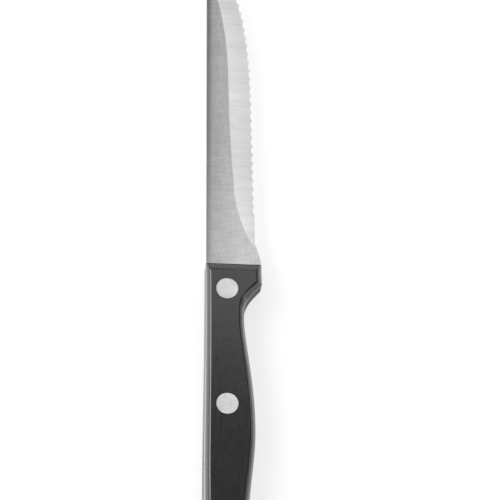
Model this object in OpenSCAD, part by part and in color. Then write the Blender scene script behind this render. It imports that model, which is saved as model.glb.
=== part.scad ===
// Steak knife with a full tang, lying on the flat face of its lower scale.
// +X runs along the knife to the tip, +Y to the spine and +Z up. The origin is on
// the resting face, on the rivet line, midway between the front and middle rivets.

/* [Blade] */
// Length of the blade, from the front of the handle to the tip
blade_l = 127; // [118:1:140]
// Thickness of the sheet that the blade and its tang are cut from
blade_t = 1.5; // [1:0.1:2.5]
// Height of the spine above the rivet line
spine_h = 6.9; // [6:0.1:7.2]
// Radius of the nose at the tip
tip_r = 0.6; // [0.3:0.1:1.5]
// Depth of the heel below the rivet line, where it meets the handle
heel_d = 12.3; // [12:0.1:14]
// Length of the curve that rises from the heel to the plain edge
heel_l = 9.8; // [7:0.1:11]
// Depth of the plain edge below the rivet line
edge_d = 10; // [9:0.1:11]
// Distance from the handle to the end of the plain edge
plain_end = 20; // [15:0.1:24]
// Distance from the handle to where the edge starts to rise to the tip
belly_at = 63.3; // [50:0.1:75]
// Depth of the edge below the rivet line where it starts to rise
belly_d = 9.25; // [8:0.05:11]

/* [Grind] */
// Thickness left at the cutting edge
edge_t = 0.25; // [0.15:0.05:0.5]
// Distance from the handle to where the grind meets the edge
plunge_start = 7.7; // [6:0.1:9]
// Distance from the handle to where the grind line levels out
plunge_end = 27.3; // [22:0.1:32]
// Depth of the grind line below the rivet line where it levels out
plunge_d = 2.9; // [1:0.1:5]
// Depth of the grind line below the rivet line where the edge starts to rise
grind_d = 1.05; // [0:0.05:3]
// Length of the tip in front of the place where the grind line meets the spine
tip_grind_l = 11; // [8:0.1:16]
// Length over which the edge thins, from the start of the grind
thinning_l = 4; // [2:0.5:8]
// Width of the ground face where the grind starts
plunge_w = 0.3; // [0.1:0.1:1]

/* [Serration] */
// Distance between teeth, along the edge
tooth_pitch = 3.33; // [2.5:0.01:4.5]
// Depth of the scallops between the teeth
scallop_d = 0.72; // [0.4:0.01:1]
// Width of the land on the point of each tooth
tooth_land = 0.2; // [0.1:0.05:0.4]
// Length of the edge left without teeth at the tip
tip_plain_l = 3; // [2:0.5:8]

/* [Handle] */
// Length of the handle, front to butt
handle_l = 108; // [96:0.1:120]
// Thickness of each scale
scale_t = 4.1; // [3.6:0.1:6]
// Height of the back of the handle above the rivet line, at the front
back_front_h = 7.3; // [7:0.1:8.5]
// Height of the back of the handle above the rivet line, near the rear rivet
back_rear_h = 8.1; // [7:0.1:9.5]
// Distance from the butt to where the back of the handle turns down to it
back_turn_l = 24; // [18:0.1:28]
// Depth of the front of the handle below the rivet line
front_d = 11.9; // [11:0.1:12]
// Distance from the front of the handle to the point of the finger guard
guard_at = 7.1; // [6:0.1:10]
// Depth of the point of the finger guard below the rivet line
guard_d = 12.15; // [11.5:0.05:13]
// Distance from the front of the handle to the waist behind the guard
waist_at = 20.4; // [18:0.1:26]
// Depth of the waist below the rivet line
waist_d = 5.85; // [5.6:0.05:8]
// Distance from the front of the handle to the deepest place of the belly
swell_at = 60.7; // [52:0.1:70]
// Depth of the belly below the rivet line
swell_d = 9.6; // [8:0.1:12]
// Distance from the butt to the neck in front of it
neck_l = 16; // [13:0.1:22]
// Depth of the neck below the rivet line
neck_d = 7.15; // [6.8:0.05:9]
// Length of the butt's underside, from the rearmost face to its flat beak
beak_l = 4.6; // [3.5:0.1:6]
// Depth of the butt's beak below the rivet line
beak_d = 8.5; // [7.5:0.1:10]

/* [Shoulder] */
// Width of the rounded shoulder at the front of the handle, along its sides
shoulder_front_w = 1.75; // [1.2:0.05:2.5]
// Width of the rounded shoulder at the butt
shoulder_rear_w = 2.6; // [1.2:0.05:2.8]
// Extra width of the shoulder in the middle of the finger notch
shoulder_notch_w = 1; // [0:0.1:1.2]
// Width of the shoulder across the front end
shoulder_end_w = 2.3; // [1.5:0.05:3]
// Drop of the shoulder, from the foot of the step to the wall of the scale
shoulder_drop = 1.8; // [1:0.1:2.6]
// Height of the small step round the flat face
step_h = 0.25; // [0.1:0.05:0.5]
// Width of the sloping side of that step
step_w = 0.15; // [0.05:0.05:0.3]

/* [Rivets] */
// Distance from the front of the handle to the front rivet
rivet_setback = 9.7; // [9:0.1:11]
// Distance from the butt to the rear rivet
rear_rivet_setback = 14.3; // [13:0.1:20]
// Diameter of the rivet heads
head_dia = 7.5; // [6:0.1:8]
// Thickness of the rivet heads
head_t = 1.1; // [0.8:0.1:1.5]
// Outer diameter of the tube of the rivet's socket half
tube_dia = 4.6; // [4:0.1:5.2]
// Diameter of the shank of the rivet's pin half
shank_dia = 3; // [2:0.1:3.2]
// Room between the end of the shank and the bottom of its bore
shank_room = 0.5; // [0.2:0.1:1]
// Gap between the end of the tube and the head of the pin
tube_room = 0.4; // [0.2:0.1:1]
// Clearance on the diameter of the holes in the tang
tang_clear = 0.2; // [0.1:0.05:0.4]
// Clearance on the diameter of the pressed fits
press_clear = 0.02; // [0.01:0.01:0.1]

/* [Hidden] */

STEEL = "#c4c5c6";
RIVET_STEEL = "#d3d4d5";
BLACK_PLASTIC = "#2d2d2e";

// Overrun of every cut past the surface that it breaks through
overrun = 1;
// Sides of the round surfaces
round_fn = 64;
// Steps on each stretch of a curve
curve_steps = 12;
// Steps on the rounding of the shoulder
shoulder_steps = 5;
// Steps on each scallop
scallop_steps = 6;
// Steps on the nose
nose_steps = 6;
// Share of the thickness left at the edge where the grind starts
plunge_thickness_share = 0.9;
// Slope at which the shoulder leaves the foot of the step
shoulder_slope = 15;

handle_t = 2 * scale_t + blade_t;
mid_z = handle_t / 2;
rivet_pitch = (handle_l - rivet_setback - rear_rivet_setback) / 2;
front_x = rivet_setback + rivet_pitch / 2;
butt_x = front_x - handle_l;
rivet_x = [for (i = [0 : 2]) rivet_pitch / 2 - i * rivet_pitch];

// Shape of each curve: its two inner control points, as shares of the box between its ends
heel_shares = [[0.41, 0.06], [0.72, 0.86]];
edge_run_shares = [[0.33, 0.25], [0.67, 0.6]];
edge_belly_shares = [[0.42, 0.035], [0.743, 0.195]];
plunge_shares = [[0.256, 0.6], [0.7, 0.84]];
grind_run_shares = [[0.33, 0.42], [0.67, 0.9]];
grind_belly_shares = [[0.215, 0.04], [0.66, -0.02]];
back_shares = [[0.5, 0], [0.7, 1]];
back_turn_shares = [[0.55, 0], [1, 0.5]];
beak_shares = [[0, 0.5], [0.3, 1]];
neck_shares = [[0.35, 0], [0.55, 1]];
swell_rear_shares = [[0.295, 0], [0.665, 1]];
swell_front_shares = [[0.44, 0], [0.793, 1]];
notch_shares = [[0.49, 0], [0.707, 0.624]];

// Points along a curve from p to q, with q left out
function curve(p, q, shares, steps = curve_steps) =
    let (
        a = p + [(q.x - p.x) * shares[0].x, (q.y - p.y) * shares[0].y],
        b = p + [(q.x - p.x) * shares[1].x, (q.y - p.y) * shares[1].y]
    )
    [
        for (i = [0 : steps - 1])
            let (t = i / steps, s = 1 - t)
            s * s * s * p + 3 * s * s * t * a + 3 * s * t * t * b + t * t * t * q
    ];

// Distance run at each point of a path
function run_lengths(path) = [
    for (i = 0, s = 0; i < len(path);
         i = i + 1, s = s + norm(path[min(i, len(path) - 1)] - path[i - 1])) s
];

// Point at a distance s along a path
function along(path, lengths, s) = [
    lookup(s, [for (i = [0 : len(path) - 1]) [lengths[i], path[i].x]]),
    lookup(s, [for (i = [0 : len(path) - 1]) [lengths[i], path[i].y]])
];

function left_of(v) = [-v.y, v.x] / norm(v);

// Cutting edge without its teeth, from the heel to the tip
heel_point = [front_x, -heel_d];
plain_start_point = [front_x + heel_l, -edge_d];
plain_end_point = [front_x + plain_end, -edge_d];
belly_point = [front_x + belly_at, -belly_d];
tip_x = front_x + blade_l;
tip_point = [tip_x, spine_h - tip_r];
heel_curve = curve(heel_point, plain_start_point, heel_shares);
toothed_curve = concat(
    curve(plain_end_point, belly_point, edge_run_shares),
    curve(belly_point, tip_point, edge_belly_shares, 2 * curve_steps),
    [tip_point]
);
whole_edge = concat(heel_curve, [plain_start_point], toothed_curve);

// Teeth, evenly spaced along the edge, with a scallop between each two
edge_lengths = run_lengths(toothed_curve);
toothed_l = edge_lengths[len(edge_lengths) - 1] - tip_plain_l;
tooth_count = floor(toothed_l / tooth_pitch);
tooth_points = [
    for (i = [0 : tooth_count]) along(toothed_curve, edge_lengths, i * tooth_pitch)
];
function scallop(from, to) =
    let (
        dir = (to - from) / norm(to - from),
        p = from + dir * tooth_land / 2,
        q = to - dir * tooth_land / 2,
        inward = left_of(q - p)
    )
    [
        for (i = [0 : scallop_steps])
            let (t = i / scallop_steps)
            p + (q - p) * t + inward * scallop_d * 4 * t * (1 - t)
    ];
teeth = [for (i = [0 : tooth_count - 1]) each scallop(tooth_points[i], tooth_points[i + 1])];
bare_tip = [
    for (i = [0 : len(toothed_curve) - 1])
        if (toothed_curve[i].x > tooth_points[tooth_count].x + tooth_land) toothed_curve[i]
];
nose = [
    for (i = [0 : nose_steps])
        let (a = 90 * i / nose_steps)
        [tip_x - tip_r + tip_r * cos(a), spine_h - tip_r + tip_r * sin(a)]
];

// Line on the flat of the blade where the grind starts, carried on past the spine at the tip
plunge_start_point = [front_x + plunge_start, -edge_d];
plunge_end_point = [front_x + plunge_end, -plunge_d];
grind_belly_point = [front_x + belly_at, -grind_d];
grind_top_point = [tip_x - tip_grind_l, spine_h];
grind_top_slope_shares = [1, 1] - grind_belly_shares[1];
grind_top_rise = (grind_top_point.y - grind_belly_point.y) * grind_top_slope_shares.y
    / ((grind_top_point.x - grind_belly_point.x) * grind_top_slope_shares.x);
grind_line = concat(
    curve(plunge_start_point, plunge_end_point, plunge_shares),
    curve(plunge_end_point, grind_belly_point, grind_run_shares, curve_steps / 2),
    curve(grind_belly_point, grind_top_point, grind_belly_shares),
    [
        for (i = [0 : curve_steps / 2])
            grind_top_point + tip_grind_l * i / (curve_steps / 2) * [1, grind_top_rise]
    ],
    [grind_top_point + (tip_grind_l + overrun) * [1, grind_top_rise]]
);

// Outline of the handle and of the tang inside it, from the front of the back round the butt
back_turn_point = [butt_x + back_turn_l, back_rear_h];
butt_point = [butt_x, 0];
beak_point = [butt_x + beak_l, -beak_d];
neck_point = [butt_x + neck_l, -neck_d];
swell_point = [front_x - swell_at, -swell_d];
waist_point = [front_x - waist_at, -waist_d];
guard_point = [front_x - guard_at, -guard_d];
handle_rim = concat(
    curve([front_x, back_front_h], back_turn_point, back_shares),
    curve(back_turn_point, butt_point, back_turn_shares),
    curve(butt_point, beak_point, beak_shares),
    curve(beak_point, neck_point, neck_shares),
    curve(neck_point, swell_point, swell_rear_shares),
    curve(swell_point, waist_point, swell_front_shares),
    curve(waist_point, guard_point, notch_shares),
    [guard_point, [front_x, -front_d]]
);
rim_n = len(handle_rim);
butt_index = 2 * curve_steps;

// Width of the shoulder at each point of the outline, along X and along Y
function notch_share(p) =
    p.y < 0 && p.x > waist_point.x && p.x < guard_point.x
    ? (p.x - waist_point.x) / (guard_point.x - waist_point.x) : 0;
function shoulder_w(p) =
    shoulder_front_w + (shoulder_rear_w - shoulder_front_w) * (front_x - p.x) / handle_l
    + shoulder_notch_w * (1 - cos(360 * notch_share(p))) / 2;
function shoulder_reach(p) = [p.x == front_x ? shoulder_end_w : shoulder_w(p), shoulder_w(p)];

// Way inward from each point of the outline that moves both of its sides in by 1
rim_inward = [
    for (i = [0 : rim_n - 1])
        let (
            n = left_of(handle_rim[i] - handle_rim[(i + rim_n - 1) % rim_n]),
            m = left_of(handle_rim[(i + 1) % rim_n] - handle_rim[i])
        )
        (n + m) / (1 + n * m)
];

// Section of a scale from its flat face to the tang: share of the shoulder width, extra width, height
shoulder_rows = concat(
    [[1, step_w, 0]],
    [
        for (i = [0 : shoulder_steps])
            let (a = shoulder_slope + (90 - shoulder_slope) * i / shoulder_steps)
            [
                (1 - sin(a)) / (1 - sin(shoulder_slope)),
                0,
                step_h + shoulder_drop * (1 - cos(a) / cos(shoulder_slope))
            ]
    ],
    [[0, 0, scale_t]]
);

// Triangles that fill a ring of n points, laid between its side from 0 to turn and its other side
function ring_fill(n, turn) = [
    for (j = [0 : n - turn - 2])
        let (
            c = n - 2 - j,
            k = floor(j * turn / (n - 1 - turn)),
            next = floor((j + 1) * turn / (n - 1 - turn))
        )
        each next > k && next < c ? [[k, c, c + 1], [k, next, c]] : [[k, c, c + 1]]
];

// Solid through rings of points, each ring closed, the same length and with its far end at turn
module skin(rings, turn) {
    n = len(rings[0]);
    last = len(rings) - 1;
    ends = ring_fill(n, turn);
    polyhedron(
        points = [for (ring = rings) each ring],
        faces = concat(
            ends,
            [
                for (r = [0 : last - 1], i = [0 : n - 1])
                    let (j = (i + 1) % n)
                    each [
                        [r * n + i, (r + 1) * n + i, (r + 1) * n + j],
                        [r * n + i, (r + 1) * n + j, r * n + j]
                    ]
            ],
            [for (f = ends) [f[2], f[1], f[0]] + last * n * [1, 1, 1]]
        )
    );
}

module at_rivets() {
    for (x = rivet_x) translate([x, 0, 0]) children();
}

// A scale lying on its flat face, with its counterbored rivet holes
module lower_scale() {
    color(BLACK_PLASTIC)
        difference() {
            skin(turn = butt_index, rings = [
                for (row = shoulder_rows)
                    [
                        for (i = [0 : rim_n - 1])
                            let (
                                reach = shoulder_reach(handle_rim[i]) * row[0] + [row[1], row[1]],
                                way = rim_inward[i]
                            )
                            [
                                handle_rim[i].x + way.x * reach.x,
                                handle_rim[i].y + way.y * reach.y,
                                row[2]
                            ]
                    ]
            ]);
            at_rivets() {
                translate([0, 0, -overrun])
                    cylinder(h = scale_t + 2 * overrun, d = tube_dia + press_clear, $fn = round_fn);
                translate([0, 0, -overrun])
                    cylinder(h = head_t + overrun, d = head_dia + press_clear, $fn = round_fn);
            }
        }
}

module upper_scale() {
    translate([0, 0, handle_t]) mirror([0, 0, 1]) lower_scale();
}

// Wedge that grinds one face of the blade down to the edge, seen from the blade's mid plane
module grind_wedge() {
    thinning_table = [
        [plunge_start_point.x, blade_t / 2 * plunge_thickness_share],
        [plunge_start_point.x + thinning_l, edge_t / 2]
    ];
    skin(turn = 2, rings = [
        for (g = grind_line)
            let (
                edge_y = lookup(g.x, whole_edge),
                edge_z = lookup(g.x, thinning_table),
                start_y = max(g.y, edge_y + plunge_w)
            )
            [
                [g.x, edge_y - overrun, blade_t / 2 + overrun],
                [g.x, edge_y - overrun, edge_z],
                [g.x, edge_y, edge_z],
                [g.x, start_y, blade_t / 2],
                [g.x, start_y, blade_t / 2 + overrun]
            ]
    ]);
}

// Blade and full tang, cut from one sheet
module blade() {
    color(STEEL)
        translate([0, 0, mid_z])
            difference() {
                translate([0, 0, -blade_t / 2])
                    linear_extrude(blade_t)
                        polygon(concat(
                            handle_rim,
                            heel_curve, [plain_start_point, plain_end_point],
                            teeth, bare_tip, nose,
                            [[front_x, spine_h]]
                        ));
                grind_wedge();
                mirror([0, 0, 1]) grind_wedge();
                at_rivets()
                    cylinder(h = blade_t + 2 * overrun, d = tube_dia + tang_clear,
                             center = true, $fn = round_fn);
            }
}

// Lower half of a rivet: a head flush with the lower scale and a tube that takes the pin
module rivet_socket(x) {
    color(RIVET_STEEL)
        translate([x, 0, 0])
            difference() {
                union() {
                    cylinder(h = head_t, d = head_dia, $fn = round_fn);
                    cylinder(h = handle_t - head_t - tube_room, d = tube_dia, $fn = round_fn);
                }
                translate([0, 0, head_t])
                    cylinder(h = handle_t, d = shank_dia + press_clear, $fn = round_fn);
            }
}

// Upper half of a rivet: a head flush with the upper scale and a solid shank
module rivet_pin(x) {
    color(RIVET_STEEL)
        translate([x, 0, 0]) {
            translate([0, 0, handle_t - head_t])
                cylinder(h = head_t, d = head_dia, $fn = round_fn);
            translate([0, 0, head_t + shank_room])
                cylinder(h = handle_t - head_t - shank_room - head_t / 2, d = shank_dia, $fn = round_fn);
        }
}

blade();
upper_scale();
lower_scale();
rivet_pin(rivet_x[0]);  // front_rivet_pin
rivet_socket(rivet_x[0]);  // front_rivet_socket
rivet_pin(rivet_x[1]);  // middle_rivet_pin
rivet_socket(rivet_x[1]);  // middle_rivet_socket
rivet_pin(rivet_x[2]);  // rear_rivet_pin
rivet_socket(rivet_x[2]);  // rear_rivet_socket
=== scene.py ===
"""Looks of a full-tang steak knife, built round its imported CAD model. Sizes are in metres."""

import math

import bmesh
import bpy
import numpy as np
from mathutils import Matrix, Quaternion, Vector
from mathutils.geometry import tessellate_polygon


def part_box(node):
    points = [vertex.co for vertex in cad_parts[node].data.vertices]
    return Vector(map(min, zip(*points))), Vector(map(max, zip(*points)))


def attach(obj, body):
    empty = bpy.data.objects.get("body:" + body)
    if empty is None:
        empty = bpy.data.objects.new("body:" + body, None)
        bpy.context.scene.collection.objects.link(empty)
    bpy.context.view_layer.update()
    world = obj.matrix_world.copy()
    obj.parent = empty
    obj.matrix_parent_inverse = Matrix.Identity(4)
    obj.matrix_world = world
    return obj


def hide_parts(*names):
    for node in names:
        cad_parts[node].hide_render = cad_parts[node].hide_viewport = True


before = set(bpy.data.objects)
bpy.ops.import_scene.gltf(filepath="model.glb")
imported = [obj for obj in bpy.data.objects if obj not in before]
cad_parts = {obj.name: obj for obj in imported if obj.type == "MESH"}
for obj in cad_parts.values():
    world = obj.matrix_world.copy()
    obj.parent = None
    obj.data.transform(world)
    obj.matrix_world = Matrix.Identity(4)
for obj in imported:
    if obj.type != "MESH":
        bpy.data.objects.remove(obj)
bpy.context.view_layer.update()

MM = 0.001

# Sizes that the frame gives
BLADE_LOW, BLADE_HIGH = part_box("blade")
SCALE_LOW, SCALE_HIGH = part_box("upper_scale")
RIVET_NAMES = ("front", "middle", "rear")
RIVET_BOXES = [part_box(f"{name}_rivet_pin") for name in RIVET_NAMES]
FRONT_X = SCALE_HIGH.x
BUTT_X = SCALE_LOW.x
TIP_X = BLADE_HIGH.x
TOP_Z = SCALE_HIGH.z
BLADE_T = BLADE_HIGH.z - BLADE_LOW.z
HALF_T = BLADE_T / 2
MID_Z = TOP_Z / 2
SCALE_T = MID_Z - HALF_T
RIVET_XS = [(low.x + high.x) / 2 for low, high in RIVET_BOXES]
HEAD_R = (RIVET_BOXES[0][1].x - RIVET_BOXES[0][0].x) / 2

# Blade, as in the CAD model
SPINE_H = 6.9 * MM
TIP_R = 0.6 * MM
HEEL_D = 12.3 * MM
HEEL_L = 9.8 * MM
EDGE_D = 10 * MM
PLAIN_END = 20 * MM
BELLY_AT = 63.3 * MM
BELLY_D = 9.25 * MM
EDGE_T = 0.25 * MM
PLUNGE_START = 7.7 * MM
PLUNGE_END = 27.3 * MM
PLUNGE_D = 2.9 * MM
GRIND_D = 1.05 * MM
TIP_GRIND_L = 11 * MM
THINNING_L = 4 * MM
TOOTH_PITCH = 3.33 * MM
SCALLOP_D = 0.72 * MM
TOOTH_LAND = 0.2 * MM
TIP_PLAIN_L = 3 * MM

# Handle, as in the CAD model
BACK_FRONT_H = 7.3 * MM
BACK_REAR_H = 8.1 * MM
BACK_TURN_L = 24 * MM
FRONT_D = 11.9 * MM
GUARD_AT = 7.1 * MM
GUARD_D = 12.15 * MM
WAIST_AT = 20.4 * MM
WAIST_D = 5.85 * MM
SWELL_AT = 60.7 * MM
SWELL_D = 9.6 * MM
NECK_L = 16 * MM
NECK_D = 7.15 * MM
BEAK_L = 4.6 * MM
BEAK_D = 8.5 * MM
SHOULDER_FRONT_W = 1.75 * MM
SHOULDER_REAR_W = 2.6 * MM
SHOULDER_NOTCH_W = 1 * MM
SHOULDER_END_W = 2.3 * MM
STEP_H = 0.25 * MM

# Rivets, as in the CAD model, with radii and their clearances in place of diameters
HEAD_T = 1.1 * MM
TUBE_R = 2.3 * MM
SHANK_R = 1.5 * MM
SHANK_ROOM = 0.5 * MM
TUBE_ROOM = 0.4 * MM
TANG_CLEAR = 0.1 * MM
PRESS_CLEAR = 0.01 * MM

# Finer shape that only the looks have. The tilts of the shoulders set what they reflect.
SHOULDER_TILT_IN = math.radians(17)
SHOULDER_TILT_OUT = math.radians(40)
BACK_TILT_FRONT = math.radians(1)
BACK_TILT_RISE = math.radians(9)
NOTCH_TILT = math.radians(1)
NOTCH_TILT_IN = math.radians(2.5)
SHOULDER_ROUND_SHARE = 0.06
NOTCH_ROUND_SHARE = 0.08
SHOULDER_GUARD_W = 0.35 * MM
FRONT_EXTRA_W = 0.3 * MM
NOTCH_TRIM = 0.3 * MM
BACK_TRIM = 0.3 * MM
BACK_RUN = 5 * MM
STEP_BACK_W = 0.3 * MM
STEP_FRONT_W = 0.5 * MM
STEP_CUTTING_W = 0.01 * MM
SPINE_EASE = 0.2 * MM
SPINE_EASE_RUN = 0.5 * MM
CORNER_R = 0.5 * MM
HEEL_CORNER_R = 0.5 * MM
GUARD_R = 0.6 * MM
FLAT_CORNER_R = 0.2 * MM
STEP_EASE = 0.02 * MM
SEAM_EASE = 0.05 * MM
HOLE_EASE = 0.08 * MM
RIM_W = 0.5 * MM
RIM_DROP = 0.03 * MM
HEAD_EASE = 0.06 * MM
HOLLOW_SLOPE = math.tan(math.radians(15))
HOLLOW_LAND = 0.04 * MM
EDGE_BAND_SLOPE = math.tan(math.radians(2.5))
EDGE_BAND_W = 0.8 * MM

# The guard's corner sits further back than in the CAD model, and the curve of the notch
# stops short of it to leave room for its round
GUARD_SETBACK = 0.35 * MM
GUARD_ROOM = 0.8 * MM

# Fineness of the meshes
ROUND_STEPS = 96
CURVE_STEPS = 28
CORNER_STEPS = 6
SHOULDER_STEPS = 20
SCALLOP_STEPS = 14
EASE_STEPS = 3
BEVEL_ROWS = 5
SHARP_ANGLE = math.radians(28)
TINY = MM / 100
MERGE_DIST = 1e-7
DISSOLVE_DIST = 1e-8

# Materials: tones, gloss, and the ranges over which they change
NOISE_ROUGHNESS = 0.6
NOISE_SPAN = (0.25, 0.75)
FLAT_TONE = 0.512
FLAT_ROUGHNESS = (0.29, 0.37)
# Painted shade along the spine of the blade's flat, and painted light from the spine toward the grind
SPINE_BAND_W = 2.1 * MM
SPINE_PAINTED_SHADE = (0.64, 0.3)
FLAT_PAINTED_LIGHT_W = (12 * MM, 5 * MM)
FLAT_PAINTED_LIGHT = 1.36
# The bevel's tone, far above the flat's, is partly its ground finish and partly painted reflection
BEVEL_TONE = 0.89
BEVEL_ROUGHNESS = (0.33, 0.41)
# Painted shade on the bevel toward the cutting edge, whose line rises along the blade
BEVEL_PAINTED_SHADE_W = 6 * MM
BEVEL_EDGE_PAINTED_SHADE = 0.88
EDGE_RISE_POWER = 4
# Painted shade on the walls of the blade and tang, lifted by painted light on the tang's back in the
# handle
WALL_PAINTED_TONE = (0.14, 0.2)
WALL_PAINTED_TINT = (0.3, 0.4)
WALL_LINES = (0.85, 1.15)
PLASTIC_TONE = 0.019
PLASTIC_NOISE_SPAN = (0.3, 0.75)
PLASTIC_ROUGHNESS = (0.14, 0.2)
# The handle's wall on the cutting side: its half height, its added roughness, and its specular level
# lowered as painted shade
MATT_WALL_HALF = 2.85 * MM
MATT_ROUGHNESS_RISE = 0.3
SHADED_WALL_SPECULAR = (0.5, 0.25)
RIVET_TONE = 0.875
RIVET_NOISE_SPAN = (0.3, 0.7)
RIVET_ROUGHNESS = (0.29, 0.36)

# Slow swells of painted light and shade along the blade: start and end of each, from the front of the
# handle, and its tone there
FLAT_PAINTED_SWELLS = ((0, 50 * MM, 1.08, 0.92), (50 * MM, 90 * MM, 1.0, 1.1))
BEVEL_PAINTED_SWELLS = (
    (8 * MM, 22 * MM, 1.14, 1.0),
    (22 * MM, 39 * MM, 1.02, 0.93),
    (39 * MM, 80 * MM, 1.0, 1.14),
)

# Shape of each curve: its two inner control points, as shares of the box between its ends.
# Only those of the notch differ from the CAD model, which makes it a little more hollow.
HEEL_SHARES = ((0.41, 0.06), (0.72, 0.86))
EDGE_RUN_SHARES = ((0.33, 0.25), (0.67, 0.6))
EDGE_BELLY_SHARES = ((0.42, 0.035), (0.743, 0.195))
PLUNGE_SHARES = ((0.256, 0.6), (0.7, 0.84))
GRIND_RUN_SHARES = ((0.33, 0.42), (0.67, 0.9))
GRIND_BELLY_SHARES = ((0.215, 0.04), (0.66, -0.02))
BACK_SHARES = ((0.5, 0), (0.7, 1))
BACK_TURN_SHARES = ((0.55, 0), (1, 0.5))
BEAK_SHARES = ((0, 0.5), (0.3, 1))
NECK_SHARES = ((0.35, 0), (0.55, 1))
SWELL_REAR_SHARES = ((0.295, 0), (0.665, 1))
SWELL_FRONT_SHARES = ((0.44, 0), (0.793, 1))
NOTCH_SHARES = ((0.49, 0), (0.75, 0.53))


def curve(p, q, shares, steps=CURVE_STEPS):
    """Points along a cubic curve from p to q, with q left out."""
    p, q = Vector(p), Vector(q)
    box = q - p
    a, b = (p + Vector((box.x * share[0], box.y * share[1])) for share in shares)
    points = []
    for i in range(steps):
        t = i / steps
        s = 1 - t
        points.append(s**3 * p + 3 * s * s * t * a + 3 * s * t * t * b + t**3 * q)
    return points


def eased(t):
    """Smooth rise from 0 to 1 while t runs from 0 to 1."""
    t = min(max(t, 0), 1)
    return t * t * (3 - 2 * t)


def left_of(v):
    return Vector((-v.y, v.x)).normalized()


class Builder:
    """A mesh that is put together from rows of points."""

    def __init__(self):
        self.bm = bmesh.new()

    def row(self, points):
        return [self.bm.verts.new(p) for p in points]

    def face(self, verts, slot=0):
        made = self.bm.faces.new(verts)
        made.material_index = slot
        made.smooth = True
        return made

    def strip(self, a, b, slot=0, closed=False):
        """Quads between two rows of the same length."""
        n = len(a)
        for i in range(n if closed else n - 1):
            j = (i + 1) % n
            self.face((a[i], a[j], b[j], b[i]), slot)

    def fill(self, outer, holes=(), slot=0):
        """Flat triangles inside a closed row of verts, with closed rows left open as holes."""
        loops = [outer, *holes]
        verts = [v for loop in loops for v in loop]
        for tri in tessellate_polygon([[v.co for v in loop] for loop in loops]):
            made = self.face([verts[i] for i in tri], slot)
            made.normal_update()
        for loop in loops:
            for i, v in enumerate(loop):
                edge = self.bm.edges.get((v, loop[i - 1]))
                if edge:
                    edge.smooth = False

    def finish(self, name, materials, replaced):
        """Closes the mesh and makes it a piece that rides on the knife."""
        bmesh.ops.remove_doubles(self.bm, verts=self.bm.verts, dist=MERGE_DIST)
        bmesh.ops.dissolve_degenerate(self.bm, edges=self.bm.edges, dist=DISSOLVE_DIST)
        bmesh.ops.recalc_face_normals(self.bm, faces=self.bm.faces)
        for edge in self.bm.edges:
            if len(edge.link_faces) == 2 and edge.calc_face_angle() > SHARP_ANGLE:
                edge.smooth = False
        mesh = bpy.data.meshes.new(name)
        self.bm.to_mesh(mesh)
        self.bm.free()
        for material in materials:
            mesh.materials.append(material)
        piece = bpy.data.objects.new(name, mesh)
        bpy.context.collection.objects.link(piece)
        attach(piece, "root")
        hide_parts(replaced)


def circle(x, radius, z):
    turns = [2 * math.pi * i / ROUND_STEPS for i in range(ROUND_STEPS)]
    return [(x + radius * math.cos(a), radius * math.sin(a), z) for a in turns]


# Outline of the handle, from the front of its back round the butt to the front again
BUTT_POINT = (BUTT_X, 0)
BACK_TURN_POINT = (BUTT_X + BACK_TURN_L, BACK_REAR_H)
BEAK_POINT = (BUTT_X + BEAK_L, -BEAK_D)
NECK_POINT = (BUTT_X + NECK_L, -NECK_D)
SWELL_POINT = (FRONT_X - SWELL_AT, -SWELL_D)
WAIST_POINT = (FRONT_X - WAIST_AT, -WAIST_D)
GUARD_POINT = (FRONT_X - GUARD_AT - GUARD_SETBACK, -GUARD_D)
NOTCH_CURVE = curve(WAIST_POINT, GUARD_POINT, NOTCH_SHARES)
RIM = [
    *curve((FRONT_X, BACK_FRONT_H), BACK_TURN_POINT, BACK_SHARES),
    *curve(BACK_TURN_POINT, BUTT_POINT, BACK_TURN_SHARES),
    *curve(BUTT_POINT, BEAK_POINT, BEAK_SHARES),
    *curve(BEAK_POINT, NECK_POINT, NECK_SHARES),
    *curve(NECK_POINT, SWELL_POINT, SWELL_REAR_SHARES),
    *curve(SWELL_POINT, WAIST_POINT, SWELL_FRONT_SHARES),
    *(p for p in NOTCH_CURVE if p.x < GUARD_POINT[0] - GUARD_ROOM),
    Vector(GUARD_POINT),
    Vector((FRONT_X, -FRONT_D)),
]
BACK_CORNER, GUARD_CORNER, HEEL_CORNER = 0, len(RIM) - 2, len(RIM) - 1
TANG_CORNERS = {BACK_CORNER: CORNER_R, GUARD_CORNER: GUARD_R}
SCALE_CORNERS = {**TANG_CORNERS, HEEL_CORNER: HEEL_CORNER_R}


def rim_inward(i):
    """Way inward from a point of the rim that moves both of its sides in by 1."""
    before, here, after = RIM[i - 1], RIM[i], RIM[(i + 1) % len(RIM)]
    n = left_of(here - before)
    m = left_of(after - here)
    return (n + m) / (1 + n.dot(m))


def notch_run(p):
    """How far a point of the rim lies from the waist, at 0, to the guard's corner, at 1.

    It grows beyond 1 in front of that corner, and is 0 on the back.
    """
    return (p.x - WAIST_POINT[0]) / (GUARD_POINT[0] - WAIST_POINT[0]) if p.y < 0 else 0


def notch_share(p):
    """1 in the middle of the finger notch, falling to 0 at its ends."""
    along = min(max(notch_run(p), 0), 1)
    return (1 - math.cos(2 * math.pi * along)) / 2


def handle_run(p):
    """How far a point lies from the front of the handle, at 0, to its butt, at 1."""
    return (FRONT_X - p.x) / (FRONT_X - BUTT_X)


def shoulder_w(p):
    """Width of the shoulder at a point of the rim."""
    width = SHOULDER_FRONT_W + (SHOULDER_REAR_W - SHOULDER_FRONT_W) * handle_run(p)
    width += (SHOULDER_NOTCH_W - NOTCH_TRIM) * notch_share(p)
    width += SHOULDER_GUARD_W * eased(notch_run(p))
    return width - BACK_TRIM * eased(p.y / BACK_RUN)


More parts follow.
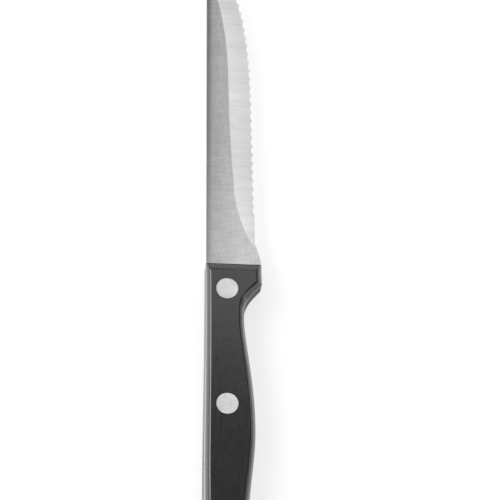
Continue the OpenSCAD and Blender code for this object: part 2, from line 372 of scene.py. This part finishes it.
def shoulder_drop(p, u):
    """Drop of the shoulder inside a point of the rim, at the share u of its width from the flat.

    Its tilt grows evenly, and a round then turns it into the wall.
    """
    back_tilt = BACK_TILT_FRONT + BACK_TILT_RISE * handle_run(p)
    tilt_in = SHOULDER_TILT_IN + NOTCH_TILT_IN * max(notch_share(p), eased(notch_run(p) - 1))
    tilt_out = SHOULDER_TILT_OUT + back_tilt * eased(p.y / BACK_RUN) + NOTCH_TILT * notch_share(p)
    round_share = SHOULDER_ROUND_SHARE + NOTCH_ROUND_SHARE * notch_share(p)
    flank = 1 - round_share
    turn = (tilt_out - tilt_in) / flank
    tilt = tilt_in + turn * min(u, flank)
    drop = math.log(math.cos(tilt_in) / math.cos(tilt)) / turn
    if u > flank:
        radius = round_share / (1 - math.sin(tilt_out))
        sine = min(math.sin(tilt_out) + (u - flank) / radius, 1)
        drop += radius * (math.cos(tilt_out) - math.sqrt(1 - sine**2))
    return drop * shoulder_w(p)


def rim_ring(share, step_share=0, extra=0, corners=SCALE_CORNERS):
    """Rim moved inward, its corners rounded: a list of points, each with its point of the rim.

    It moves by a share of the shoulder's width, a share of the step's width and an extra width.
    The front has its own widths, which the two points at its ends take along X.
    """
    sharp = []
    for i, p in enumerate(RIM):
        inward = rim_inward(i)
        shoulder_x = shoulder_y = shoulder_w(p)
        step_x = step_y = STEP_CUTTING_W + (STEP_BACK_W - STEP_CUTTING_W) * eased(p.y / BACK_RUN)
        if i in (BACK_CORNER, HEEL_CORNER):
            shoulder_x, step_x = SHOULDER_END_W + FRONT_EXTRA_W, STEP_FRONT_W
        moved = p + Vector((
            inward.x * (shoulder_x * share + step_x * step_share + extra),
            inward.y * (shoulder_y * share + step_y * step_share + extra),
        ))
        sharp.append((moved, p))
    ring = []
    for i, (p, source) in enumerate(sharp):
        if i not in corners:
            ring.append((p, source))
            continue
        radius = corners[i] * (1 - share) + FLAT_CORNER_R * share
        before = (sharp[i - 1][0] - p).normalized()
        after = (sharp[(i + 1) % len(sharp)][0] - p).normalized()
        reach = radius / math.tan(before.angle(after) / 2)
        for k in range(CORNER_STEPS + 1):
            t = k / CORNER_STEPS
            ring.append((p + before * reach * (1 - t) ** 2 + after * reach * t * t, source))
    return ring


def shoulder_shares():
    """Shares of the shoulder's width at which its section has a row, from the flat outward."""
    flank = 1 - SHOULDER_ROUND_SHARE
    shares = [flank * i / SHOULDER_STEPS for i in range(SHOULDER_STEPS + 1)]
    for i in range(1, CORNER_STEPS + 1):
        shares.append(1 - SHOULDER_ROUND_SHARE * (1 - i / CORNER_STEPS) ** 2)
    return shares


def make_scale(name, upward, material):
    """One scale. Upward is 1 for the upper scale and -1 for its mirror twin."""
    build = Builder()

    def height(depth):
        return MID_Z + upward * (MID_Z - depth)

    def section_row(share, depth, **room):
        return build.row([(*p, height(depth)) for p, _ in rim_ring(share, **room)])

    def shoulder_row(u):
        ring = rim_ring(1 - u)
        return build.row([(*p, height(STEP_H + shoulder_drop(source, u))) for p, source in ring])

    rows = [
        section_row(1, 0, step_share=1, extra=STEP_EASE),
        section_row(1, STEP_EASE, step_share=1, extra=-STEP_EASE),
        section_row(1, STEP_H - STEP_EASE, extra=STEP_EASE),
    ]
    rows += [shoulder_row(u) for u in shoulder_shares()]
    rows.append(section_row(0, SCALE_T - SEAM_EASE))
    rows.append(section_row(0, SCALE_T, extra=SEAM_EASE))
    for a, b in zip(rows, rows[1:]):
        build.strip(a, b, closed=True)
    bore_rows = (
        (HEAD_R + PRESS_CLEAR + HOLE_EASE, 0),
        (HEAD_R + PRESS_CLEAR, HOLE_EASE),
        (HEAD_R + PRESS_CLEAR, HEAD_T),
        (TUBE_R + PRESS_CLEAR, HEAD_T),
        (TUBE_R + PRESS_CLEAR, SCALE_T),
    )
    bores = []
    for x in RIVET_XS:
        bore = [build.row(circle(x, radius, height(depth))) for radius, depth in bore_rows]
        for a, b in zip(bore, bore[1:]):
            build.strip(a, b, closed=True)
        bores.append(bore)
    build.fill(rows[0], [bore[0] for bore in bores])
    build.fill(rows[-1], [bore[-1] for bore in bores])
    build.finish(name + "_smooth", [material], name)


def make_lathed(name, x, profile, material):
    """A turned piece of a rivet. Its profile runs from axis to axis as radius and height."""
    build = Builder()
    rows = [build.row(circle(x, radius, z)) for radius, z in profile[1:-1]]
    for a, b in zip(rows, rows[1:]):
        build.strip(a, b, closed=True)
    for row, z in ((rows[0], profile[0][1]), (rows[-1], profile[-1][1])):
        centre = build.bm.verts.new((x, 0, z))
        for i, v in enumerate(row):
            build.face((centre, row[i - 1], v))
    build.finish(name + "_turned", [material], name)


def make_rivet(name, x, material):
    """Both halves of a rivet, their heads flush with the scales."""
    pin_head = TOP_Z - HEAD_T
    pin_end = HEAD_T + SHANK_ROOM
    make_lathed(f"{name}_rivet_pin", x, (
        (0, TOP_Z),
        (HEAD_R - RIM_W, TOP_Z),
        (HEAD_R - HEAD_EASE, TOP_Z - RIM_DROP),
        (HEAD_R, TOP_Z - RIM_DROP - HEAD_EASE),
        (HEAD_R, pin_head),
        (SHANK_R, pin_head),
        (SHANK_R, pin_end),
        (0, pin_end),
    ), material)
    tube_end = pin_head - TUBE_ROOM
    bore_r = SHANK_R + PRESS_CLEAR
    make_lathed(f"{name}_rivet_socket", x, (
        (0, 0),
        (HEAD_R - RIM_W, 0),
        (HEAD_R - HEAD_EASE, RIM_DROP),
        (HEAD_R, RIM_DROP + HEAD_EASE),
        (HEAD_R, HEAD_T),
        (TUBE_R, HEAD_T),
        (TUBE_R, tube_end),
        (bore_r, tube_end),
        (bore_r, HEAD_T),
        (0, HEAD_T),
    ), material)


# Cutting edge without its teeth, and the line where the grind starts
PLAIN_START_POINT = (FRONT_X + HEEL_L, -EDGE_D)
PLAIN_END_POINT = (FRONT_X + PLAIN_END, -EDGE_D)
BELLY_POINT = (FRONT_X + BELLY_AT, -BELLY_D)
TIP_POINT = (TIP_X, SPINE_H - TIP_R)
TOOTHED_CURVE = [
    *curve(PLAIN_END_POINT, BELLY_POINT, EDGE_RUN_SHARES, 4 * CURVE_STEPS),
    *curve(BELLY_POINT, TIP_POINT, EDGE_BELLY_SHARES, 8 * CURVE_STEPS),
    Vector(TIP_POINT),
]
EDGE_PATH = [
    *curve((FRONT_X, -HEEL_D), PLAIN_START_POINT, HEEL_SHARES, 2 * CURVE_STEPS),
    Vector(PLAIN_START_POINT),
    *TOOTHED_CURVE,
]
GRIND_START_X = FRONT_X + PLUNGE_START
PLUNGE_END_POINT = (FRONT_X + PLUNGE_END, -PLUNGE_D)
GRIND_BELLY_POINT = (FRONT_X + BELLY_AT, -GRIND_D)
GRIND_TOP_POINT = (TIP_X - TIP_GRIND_L, SPINE_H)
GRIND_TOP_RISE = (
    (GRIND_TOP_POINT[1] - GRIND_BELLY_POINT[1]) * (1 - GRIND_BELLY_SHARES[1][1])
    / ((GRIND_TOP_POINT[0] - GRIND_BELLY_POINT[0]) * (1 - GRIND_BELLY_SHARES[1][0]))
)
GRIND_PATH = [
    *curve((GRIND_START_X, -EDGE_D), PLUNGE_END_POINT, PLUNGE_SHARES, 2 * CURVE_STEPS),
    *curve(PLUNGE_END_POINT, GRIND_BELLY_POINT, GRIND_RUN_SHARES),
    *curve(GRIND_BELLY_POINT, GRIND_TOP_POINT, GRIND_BELLY_SHARES, 2 * CURVE_STEPS),
    Vector(GRIND_TOP_POINT),
    Vector((TIP_X, SPINE_H + TIP_GRIND_L * GRIND_TOP_RISE)),
]

# Where the rounded front corner of the handle comes down to the spine
CORNER_FALL = BACK_FRONT_H - SPINE_H
SPINE_START_X = FRONT_X - CORNER_R + math.sqrt(CORNER_R**2 - (CORNER_R - CORNER_FALL) ** 2)


def height_on(path, x):
    """Y of a path at x. The path runs forward along X."""
    return float(np.interp(x, [p.x for p in path], [p.y for p in path]))


def points_along(path, pitch, end_room):
    """Points evenly spaced along a path, up to a distance from its end."""
    lengths = [0.0]
    for a, b in zip(path, path[1:]):
        lengths.append(lengths[-1] + (b - a).length)
    count = int((lengths[-1] - end_room) / pitch)
    marks = [i * pitch for i in range(count + 1)]
    xs = np.interp(marks, lengths, [p.x for p in path])
    ys = np.interp(marks, lengths, [p.y for p in path])
    return [Vector((float(x), float(y))) for x, y in zip(xs, ys)]


def scallop(start, end):
    """Hollow between two teeth. Its last point is left to the next hollow."""
    way = (end - start).normalized()
    p = start + way * TOOTH_LAND / 2
    q = end - way * TOOTH_LAND / 2
    inward = left_of(q - p)
    points = []
    for i in range(SCALLOP_STEPS + 1):
        t = i / SCALLOP_STEPS
        points.append(p.lerp(q, t) + inward * SCALLOP_D * 4 * t * (1 - t))
    return points


def spine_height(x):
    """Y of the spine, which the nose brings down at the tip."""
    into_nose = max(x - (TIP_X - TIP_R), 0)
    return SPINE_H - TIP_R + math.sqrt(max(TIP_R**2 - into_nose**2, 0))


class Station:
    """A section across the blade, with a thin band along the edge and a hollow under each notch.

    It is full where the grind reaches up to the spine.
    """

    def __init__(self, x, y, toothed):
        self.x = x
        self.y = y
        self.base = height_on(EDGE_PATH, x)
        self.spine = spine_height(x)
        grind = height_on(GRIND_PATH, x) if x > GRIND_START_X else self.base
        self.edge_half = HALF_T + (EDGE_T / 2 - HALF_T) * eased((x - GRIND_START_X) / THINNING_L)
        self.slope = (HALF_T - self.edge_half) / max(grind - self.base, TINY)
        ease_room = min(self.spine - y, self.half_at(self.spine)) / 2
        self.ease = min(SPINE_EASE * eased((x - SPINE_START_X) / SPINE_EASE_RUN), ease_room)
        self.full = grind >= self.spine - self.ease
        self.grind = self.spine - self.ease if self.full else grind
        outline_half = self.half_at(y)
        facet_room = (self.grind - y) / 2
        band_w = min(EDGE_BAND_W, facet_room)
        band_start = eased(1 + (x - PLAIN_END_POINT[0]) / THINNING_L)
        band_depth = band_start * min(band_w * EDGE_BAND_SLOPE, outline_half / 2)
        hollow_depth = max(2 * outline_half - band_depth - HOLLOW_LAND, 0) if toothed else 0
        hollow_w = min(hollow_depth / (HOLLOW_SLOPE + self.slope), facet_room)
        self.facets = {1: (band_depth, band_w), -1: (hollow_depth, hollow_w)}

    def half_at(self, y):
        """Half of the ground blade's thickness at a height on this section."""
        return min(self.edge_half + self.slope * max(y - self.base, 0), HALF_T)

    def bevel_row(self, side):
        """Points from the cutting edge to the grind line, on the upper side (1) or lower one (-1)."""
        depth, width = self.facets[side]
        points = [(self.x, self.y, MID_Z + side * (self.half_at(self.y) - depth))]
        foot = self.y + width
        for i in range(BEVEL_ROWS):
            y = foot + (self.grind - foot) * i / (BEVEL_ROWS - 1)
            points.append((self.x, y, MID_Z + side * self.half_at(y)))
        return points

    def spine_row(self):
        """Points round the eased spine, from the upper side to the lower one."""
        points = []
        for side in (1, -1):
            turns = range(EASE_STEPS + 1) if side > 0 else range(EASE_STEPS, -1, -1)
            for i in turns:
                a = math.pi / 2 * i / EASE_STEPS
                y = self.spine - self.ease * (1 - math.sin(a))
                half = self.half_at(self.spine - self.ease) - self.ease * (1 - math.cos(a))
                points.append((self.x, y, MID_Z + side * half))
        return points


def edge_stations():
    """Every section from the heel to the tip."""
    plain_xs = list(np.linspace(FRONT_X, GRIND_START_X, CURVE_STEPS))
    plain_xs += list(np.linspace(GRIND_START_X, PLAIN_END_POINT[0], 2 * CURVE_STEPS))[1:-1]
    stations = [Station(float(x), height_on(EDGE_PATH, x), False) for x in plain_xs]
    teeth = points_along(TOOTHED_CURVE, TOOTH_PITCH, TIP_PLAIN_L)
    for start, end in zip(teeth, teeth[1:]):
        stations += [Station(p.x, p.y, True) for p in scallop(start, end)]
    last = teeth[-1].x + TOOTH_LAND
    nose_start = TIP_X - TIP_R
    tip_xs = list(np.linspace(last, nose_start, CURVE_STEPS // 2))[:-1]
    for i in range(CORNER_STEPS + 1):
        tip_xs.append(nose_start + TIP_R * math.sin(math.pi / 2 * i / CORNER_STEPS))
    stations += [Station(float(x), height_on(EDGE_PATH, x), False) for x in tip_xs]
    return stations


FLAT_SLOT, BEVEL_SLOT, WALL_SLOT = range(3)


def make_blade(materials):
    """Blade and tang: two flats, bevels with a band or hollows at the edge, eased spine and walls."""
    build = Builder()
    stations = edge_stations()
    ground = [s for s in stations if s.x > GRIND_START_X - TINY]
    heel = stations[: len(stations) - len(ground)]
    closing = next(i for i, s in enumerate(ground) if s.full)

    spine_xs = np.linspace(SPINE_START_X, ground[closing].x, CURVE_STEPS)
    ease_xs = np.linspace(SPINE_START_X, SPINE_START_X + SPINE_EASE_RUN, CORNER_STEPS)
    behind_xs = sorted({*map(float, spine_xs[:-1]), *map(float, ease_xs)})
    spine = [Station(x, height_on(EDGE_PATH, x), False) for x in behind_xs]
    spine += ground[closing:]
    spine_rows = [build.row(s.spine_row()) for s in spine]
    for a, b in zip(spine_rows, spine_rows[1:]):
        build.strip(a, b, WALL_SLOT)
    first_ground_spine = len(behind_xs)

    # The tang's outline starts where its rounded front corner meets the spine
    rim = [p for p, _ in rim_ring(0, corners=TANG_CORNERS)]
    rim = [p for i, p in enumerate(rim) if i > CORNER_STEPS or p.y > SPINE_H]
    rim.insert(0, Vector((SPINE_START_X, SPINE_H)))
    sides = {}
    for side in (1, -1):
        z = MID_Z + side * HALF_T
        rows = [build.row(s.bevel_row(side)) for s in ground]
        for i, row in enumerate(rows[closing:]):
            inset = spine_rows[first_ground_spine + i][0 if side > 0 else -1]
            build.bm.verts.remove(row.pop())
            row.append(inset)
        for a, b in zip(rows, rows[1:]):
            build.strip(a, b, BEVEL_SLOT)
            build.bm.edges.get((a[1], b[1])).smooth = False
        rim_row = build.row([(*p, z) for p in rim])
        heel_row = build.row([(s.x, s.y, z) for s in heel])
        spine_edge = [row[0 if side > 0 else -1] for row in spine_rows[: first_ground_spine + 1]]
        outer = rim_row + heel_row + [row[-1] for row in rows[:closing]] + spine_edge[::-1]
        holes = [build.row(circle(x, TUBE_R + TANG_CLEAR, z)) for x in RIVET_XS]
        build.fill(outer, holes, FLAT_SLOT)
        sides[side] = (rim_row + heel_row + [row[0] for row in rows], holes)
    build.strip(sides[1][0], sides[-1][0], WALL_SLOT)
    for a, b in zip(sides[1][1], sides[-1][1]):
        build.strip(a, b, WALL_SLOT, closed=True)
    build.finish("blade_ground", materials, "blade")


class Shader:
    """A node material made in a few lines. Its plain values are given by socket."""

    def __init__(self, name, **values):
        self.material = bpy.data.materials.new(name)
        self.material.use_nodes = True
        self.tree = self.material.node_tree
        self.surface = self.tree.nodes["Principled BSDF"]
        for socket, value in values.items():
            self.surface.inputs[socket.replace("_", " ")].default_value = value
        place = self.tree.nodes.new("ShaderNodeTexCoord")
        self.place = place.outputs["Object"]

    def node(self, kind, links=None, **values):
        """Adds a node. Links and plain values are given by socket, other values by attribute."""
        made = self.tree.nodes.new("ShaderNode" + kind)
        for key, value in values.items():
            setattr(made, key, value)
        for socket, value in (links or {}).items():
            if isinstance(value, bpy.types.NodeSocket):
                self.tree.links.new(value, made.inputs[socket])
            else:
                made.inputs[socket].default_value = value
        return made

    def noise(self, per_metre, detail=3, offset=(0, 0, 0)):
        """Noise from 0 to 1 with that many features to the metre along X, Y and Z."""
        stretched = self.node("Mapping", {"Vector": self.place, "Scale": per_metre, "Location": offset})
        made = self.node(
            "TexNoise",
            {
                "Vector": stretched.outputs[0],
                "Scale": 1,
                "Detail": detail,
                "Roughness": NOISE_ROUGHNESS,
            },
        )
        return made.outputs["Fac"]

    def math(self, operation, a, b=0.0):
        return self.node("Math", {0: a, 1: b}, operation=operation).outputs[0]

    def blend(self, base, *parts):
        """A base value with noises laid over it, each swinging that far about its middle."""
        total = base
        for noise, swing in parts:
            about_middle = self.math("MULTIPLY", self.math("SUBTRACT", noise, 0.5), swing)
            total = self.math("ADD", about_middle, total)
        return total

    def ramp(self, value, low, high, to_low=0.0, to_high=1.0):
        """Value mapped from low..high to to_low..to_high and held there beyond."""
        made = self.node("MapRange", {0: value, 1: low, 2: high, 3: to_low, 4: to_high})
        return made.outputs[0]

    def with_painted_swells(self, tone, swells):
        """Tone with slow swells of painted light and shade along the blade laid over it."""
        for start, end, low, high in swells:
            swell = self.ramp(self.axis("X"), FRONT_X + start, FRONT_X + end, low, high)
            tone = self.math("MULTIPLY", tone, swell)
        return tone

    def grey(self, value):
        return self.node("CombineColor", {0: value, 1: value, 2: value}).outputs[0]

    def feed(self, socket, value):
        self.tree.links.new(value, self.surface.inputs[socket])

    def bump(self, height, depth):
        made = self.node("Bump", {"Height": height, "Distance": depth})
        self.feed("Normal", made.outputs[0])

    def axis(self, name):
        return self.node("SeparateXYZ", {0: self.place}).outputs[name]


def steel_flat():
    """Flat of the blade: fine crossed brushing, painted shade at the spine, painted light at the grind.
    """
    s = Shader("steel_flat", Metallic=1.0)
    across = s.noise((1300, 170, 170))
    along = s.noise((200, 1500, 200), offset=(7, 3, 1))
    cloud = s.noise((220, 220, 220), detail=2, offset=(5, 1, 8))
    grain = s.noise((1600, 1600, 1600), detail=1, offset=(2, 9, 6))
    tone = s.blend(FLAT_TONE, (across, 0.21), (along, 0.16), (cloud, 0.08), (grain, 0.1))
    # Painted shade: the flat is painted darker in a band along the spine
    from_spine = s.math("SUBTRACT", SPINE_H, s.axis("Y"))
    spine_darkest_shade = s.ramp(s.axis("X"), FRONT_X, TIP_X, *SPINE_PAINTED_SHADE)
    painted_shading = s.ramp(from_spine, 0.0, SPINE_BAND_W, spine_darkest_shade, 1.0)
    # Painted light: the flat is painted brighter from the spine toward the grind
    painted_light_w = s.ramp(s.axis("X"), FRONT_X, FRONT_X + BELLY_AT, *FLAT_PAINTED_LIGHT_W)
    rise = s.ramp(s.math("DIVIDE", from_spine, painted_light_w), 0.0, 1.0, 1.0, FLAT_PAINTED_LIGHT)
    # Painted light and shade in slow swells along the blade
    rise = s.with_painted_swells(rise, FLAT_PAINTED_SWELLS)
    s.feed("Base Color", s.grey(s.math("MULTIPLY", s.math("MULTIPLY", tone, painted_shading), rise)))
    s.feed("Roughness", s.ramp(across, *NOISE_SPAN, *FLAT_ROUGHNESS))
    s.bump(s.math("ADD", across, along), depth=0.004 * MM)
    return s.material


def steel_bevel():
    """Ground bevel: coarse bright streaks across the blade, painted shade toward the cutting edge."""
    s = Shader("steel_bevel", Metallic=1.0)
    streak = s.noise((1250, 90, 90), detail=2, offset=(2, 5, 4))
    swell = s.noise((300, 60, 60), detail=1, offset=(6, 2, 2))
    tone = s.blend(BEVEL_TONE, (streak, 0.2), (swell, 0.08))
    # Painted shade: the bevel is painted darker toward the cutting edge
    edge_rise = s.math("POWER", s.ramp(s.axis("X"), FRONT_X, TIP_X), EDGE_RISE_POWER)
    from_edge = s.math("SUBTRACT", s.axis("Y"), s.ramp(edge_rise, 0.0, 1.0, -EDGE_D, SPINE_H))
    painted_shading = s.ramp(from_edge, 0.0, BEVEL_PAINTED_SHADE_W, BEVEL_EDGE_PAINTED_SHADE, 1.0)
    # Painted light and shade in slow swells along the blade
    painted_shading = s.with_painted_swells(painted_shading, BEVEL_PAINTED_SWELLS)
    s.feed("Base Color", s.grey(s.math("MULTIPLY", tone, painted_shading)))
    s.feed("Roughness", s.ramp(streak, *NOISE_SPAN, *BEVEL_ROUGHNESS))
    s.bump(streak, depth=0.005 * MM)
    return s.material


def steel_wall():
    """Narrow walls of blade and tang: dull, finely lined, in painted shade; painted light on the
    handle's back.
    """
    s = Shader("steel_wall", Metallic=1.0, Roughness=0.4)
    lines = s.noise((120, 120, 5000))
    # Painted light on the tang's wall along the handle's back; painted shade on the other walls
    in_handle = s.ramp(s.axis("X"), FRONT_X, FRONT_X + SEAM_EASE, 1.0, 0.0)
    painted_lit_back = s.math("MULTIPLY", in_handle, s.ramp(s.axis("Y"), 0.0, SEAM_EASE))
    tone = s.ramp(painted_lit_back, 0.0, 1.0, *WALL_PAINTED_TONE)
    s.feed("Base Color", s.grey(s.math("MULTIPLY", tone, s.ramp(lines, *NOISE_SPAN, *WALL_LINES))))
    s.feed("Specular Tint", s.grey(s.ramp(painted_lit_back, 0.0, 1.0, *WALL_PAINTED_TINT)))
    s.bump(lines, depth=0.004 * MM)
    return s.material


def black_plastic():
    """Moulded plastic with a soft gloss, a faint ripple and fine rubbed scratches.

    Its wall on the cutting side is left matt, and its reflection there is turned down as painted shade.
    """
    s = Shader("black_plastic", IOR=1.54)
    ripple = s.noise((230, 230, 230), detail=2)
    grain = s.noise((650, 650, 650), detail=2, offset=(3, 8, 5))
    rubbed = s.noise((110, 1700, 400), detail=2, offset=(1, 6, 2))
    s.feed("Base Color", s.grey(s.blend(PLASTIC_TONE, (grain, 0.013), (rubbed, 0.008))))
    gloss = s.ramp(rubbed, *PLASTIC_NOISE_SPAN, *PLASTIC_ROUGHNESS)
    from_middle = s.math("ABSOLUTE", s.math("SUBTRACT", s.axis("Z"), MID_Z))
    on_wall = s.ramp(from_middle, MATT_WALL_HALF - SEAM_EASE, MATT_WALL_HALF, 1.0, 0.0)
    matt = s.math("MULTIPLY", on_wall, s.ramp(s.axis("Y"), -SEAM_EASE, 0.0, 1.0, 0.0))
    s.feed("Roughness", s.math("ADD", gloss, s.math("MULTIPLY", matt, MATT_ROUGHNESS_RISE)))
    # Painted shade: the wall on the cutting side reflects less
    s.feed("Specular IOR Level", s.ramp(matt, 0.0, 1.0, *SHADED_WALL_SPECULAR))
    s.bump(s.blend(0.0, (ripple, 1.0), (grain, 0.04)), depth=0.02 * MM)
    return s.material


def rivet_steel():
    """Satin rivet steel, mottled by the polishing that left it flush."""
    s = Shader("rivet_steel", Metallic=1.0)
    mottle = s.noise((1300, 1300, 1300), detail=2)
    patch = s.noise((600, 600, 600), detail=1, offset=(4, 4, 9))
    s.feed("Base Color", s.grey(s.blend(RIVET_TONE, (mottle, 0.32), (patch, 0.1))))
    s.feed("Roughness", s.ramp(mottle, *RIVET_NOISE_SPAN, *RIVET_ROUGHNESS))
    s.bump(mottle, depth=0.002 * MM)
    return s.material


make_blade([steel_flat(), steel_bevel(), steel_wall()])
plastic = black_plastic()
make_scale("upper_scale", 1, plastic)
make_scale("lower_scale", -1, plastic)
head_steel = rivet_steel()
for rivet_name, rivet_x in zip(RIVET_NAMES, RIVET_XS):
    make_rivet(rivet_name, rivet_x, head_steel)

# Floor: matt white. What is seen of it glows a little, so that its shadow stays as pale
# as in a light tent
FLOOR_SIZE = 8.0
FLOOR_ALBEDO = 0.8
FLOOR_SEEN_ALBEDO = 0.38
FLOOR_LIFT = 0.635


def opaque(grey):
    return (grey, grey, grey, 1)


def make_floor():
    bpy.ops.mesh.primitive_plane_add(size=FLOOR_SIZE, location=(0, 0, 0))
    floor = bpy.context.object
    floor.name = "floor"
    material = bpy.data.materials.new("white_floor")
    material.use_nodes = True
    tree = material.node_tree
    tree.nodes.clear()

    def node(kind, **values):
        made = tree.nodes.new("ShaderNode" + kind)
        for key, value in values.items():
            made.inputs[key].default_value = value
        return made

    matt = node("BsdfDiffuse", Color=opaque(FLOOR_ALBEDO))
    seen_matt = node("BsdfDiffuse", Color=opaque(FLOOR_SEEN_ALBEDO))
    lift = node("Emission", Strength=FLOOR_LIFT)
    seen = node("AddShader")
    tree.links.new(seen_matt.outputs[0], seen.inputs[0])
    tree.links.new(lift.outputs[0], seen.inputs[1])
    path = node("LightPath")
    sight = path.outputs["Is Camera Ray"]
    for ray in ("Is Glossy Ray", "Is Transmission Ray"):
        either = node("Math")
        either.operation = "MAXIMUM"
        tree.links.new(sight, either.inputs[0])
        tree.links.new(path.outputs[ray], either.inputs[1])
        sight = either.outputs[0]
    mix = node("MixShader")
    tree.links.new(sight, mix.inputs[0])
    tree.links.new(matt.outputs[0], mix.inputs[1])
    tree.links.new(seen.outputs[0], mix.inputs[2])
    out = node("OutputMaterial")
    tree.links.new(mix.outputs[0], out.inputs[0])
    floor.data.materials.append(material)


make_floor()

# Lamps of a light tent: name, azimuth and elevation in degrees as seen from the knife,
# width and height in metres, and radiance
LAMP_DISTANCE = 1.1
SOFTBOXES = (
    ("left_low", 60, 8, 1.1, 0.31, 11.0),
    ("left_middle", 60, 24, 1.1, 0.31, 4.6),
    ("left_high", 60, 41, 1.1, 0.31, 3.4),
    ("left_rear", 122, 32, 1.3, 0.95, 1.8),
    ("right_low", -64, 9, 1.15, 0.34, 4.7),
    ("right_middle", -64, 26, 1.15, 0.3, 1.6),
    ("right_rear_low", -114, 9, 0.9, 0.34, 6.0),
    ("right_rear_high", -112, 36, 0.9, 0.5, 1.75),
    ("front", 0, 26, 0.8, 0.56, 1.45),
    ("rear", 180, 20, 0.8, 0.5, 1.2),
    ("overhead", -8, 66, 0.36, 0.1, 1.8),
    ("overhead_left", 24, 60, 0.25, 0.22, 1.15),
    ("overhead_right", -33, 54, 0.26, 0.46, 1.4),
    ("zenith", -90, 85, 0.3, 0.3, 3.2),
)
WORLD_GREY = 0.05

for lamp_name, azimuth, elevation, width, height, radiance in SOFTBOXES:
    lamp = bpy.data.lights.new(lamp_name, "AREA")
    lamp.shape = "RECTANGLE"
    lamp.size, lamp.size_y = width, height
    lamp.energy = radiance * math.pi * width * height
    holder = bpy.data.objects.new(lamp_name, lamp)
    turn, rise = math.radians(azimuth), math.radians(elevation)
    way = Vector((math.cos(rise) * math.cos(turn), math.cos(rise) * math.sin(turn), math.sin(rise)))
    holder.location = way * LAMP_DISTANCE
    holder.rotation_euler = (-way).to_track_quat("-Z", "Y").to_euler()
    holder.visible_camera = False
    bpy.context.collection.objects.link(holder)

world = bpy.data.worlds.new("studio")
world.use_nodes = True
world.node_tree.nodes["Background"].inputs["Color"].default_value = opaque(WORLD_GREY)
bpy.context.scene.world = world

# Camera at the photograph's angle, with a lens for the photograph's frame of 500 by 500 pixels
CAMERA_PLACE = Vector((-325.14, 66.42, 854.7)) * MM
CAMERA_TARGET = Vector((35.48, -7.93, 9.7)) * MM
CAMERA_ROLL = math.radians(12.36)
SENSOR_W = 36.0
LENS = 191.67
CLIP_START = 0.01
CLIP_END = 20

camera_data = bpy.data.cameras.new("camera")
camera_data.sensor_width = SENSOR_W
camera_data.lens = LENS
camera_data.clip_start = CLIP_START
camera_data.clip_end = CLIP_END
camera = bpy.data.objects.new("camera", camera_data)
camera.location = CAMERA_PLACE
facing = (CAMERA_TARGET - CAMERA_PLACE).to_track_quat("-Z", "Y")
facing.rotate(Quaternion(CAMERA_TARGET - CAMERA_PLACE, -CAMERA_ROLL))
camera.rotation_mode = "QUATERNION"
camera.rotation_quaternion = facing
bpy.context.collection.objects.link(camera)
bpy.context.scene.camera = camera
bpy.context.scene.view_settings.view_transform = "Standard"
